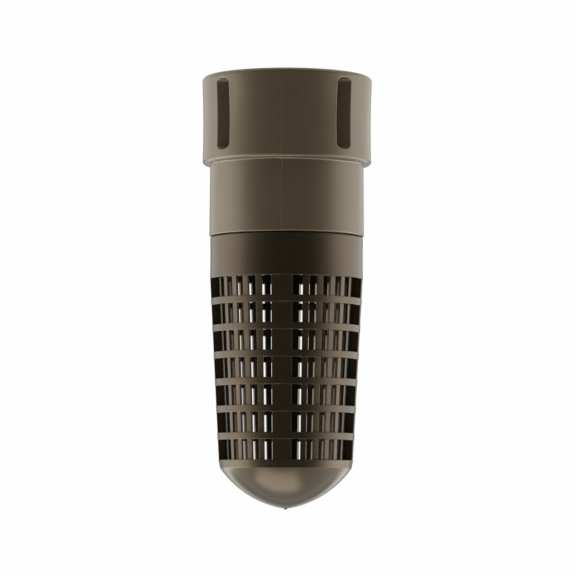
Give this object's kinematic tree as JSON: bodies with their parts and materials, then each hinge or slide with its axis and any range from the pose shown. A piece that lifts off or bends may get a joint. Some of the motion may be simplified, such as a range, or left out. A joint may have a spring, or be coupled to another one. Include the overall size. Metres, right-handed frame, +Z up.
{
  "type": "foot valve",
  "caption": "Threaded foot valve for a suction pipe: a plastic body with a spring-loaded check poppet above a tapered slotted strainer basket.",
  "frame": {"origin": "centre of the threaded socket's mouth, on the collar's top face", "axes": "+Z up along the valve's axis, out of the socket towards the pipe; the strainer hangs along -Z; the mould's parting line is in the YZ plane, and -Y is the front"},
  "size_m": [0.0752, 0.0752, 0.191],
  "materials": {
    "grey_moulding": "semi-gloss moulded, warm grey, glass-filled",
    "dark_moulding": "semi-gloss moulded, brown-black",
    "seat_moulding": "satin moulded, black",
    "poppet_moulding": "satin moulded, black",
    "white_acetal": "satin moulded, natural white",
    "bush_plastic": "satin turned bearing plastic",
    "nylon": "satin nylon",
    "rubber": "matt black",
    "stainless": "turned and pressed stainless steel",
    "spring_steel": "drawn stainless spring wire"
  },
  "bodies": {
    "housing": {"valve_body": "grey_moulding", "strainer_basket": "dark_moulding", "pipe_gasket": "rubber", "guide_spider": "white_acetal", "upper_bush": "bush_plastic", "spring_washer": "stainless", "valve_spring": "spring_steel", "seat_ring": "seat_moulding", "seat_o_ring": "rubber", "lower_bush": "bush_plastic", "seat_circlip": "spring_steel"},
    "spring_carrier": {"spring_cup": "stainless"},
    "poppet": {"poppet_stem": "stainless", "poppet_disc": "poppet_moulding", "disc_seal": "rubber", "seal_retainer": "stainless", "stem_washer": "stainless", "lock_nut": "stainless", "nut_insert": "nylon"}
  },
  "joints": [
    {"name": "poppet_lift", "type": "slide", "parent": "housing", "child": "spring_carrier", "axis": [0, 0, 1], "range_m": [0, 0.009], "stiffness_N_per_m": 500, "springref_m": -0.008, "deforming": ["valve_spring"]},
    {"name": "poppet_spin", "type": "hinge", "parent": "spring_carrier", "child": "poppet", "pos_m": [0, 0, -0.0463], "axis": [0, 0, 1], "continuous": true}
  ]
}
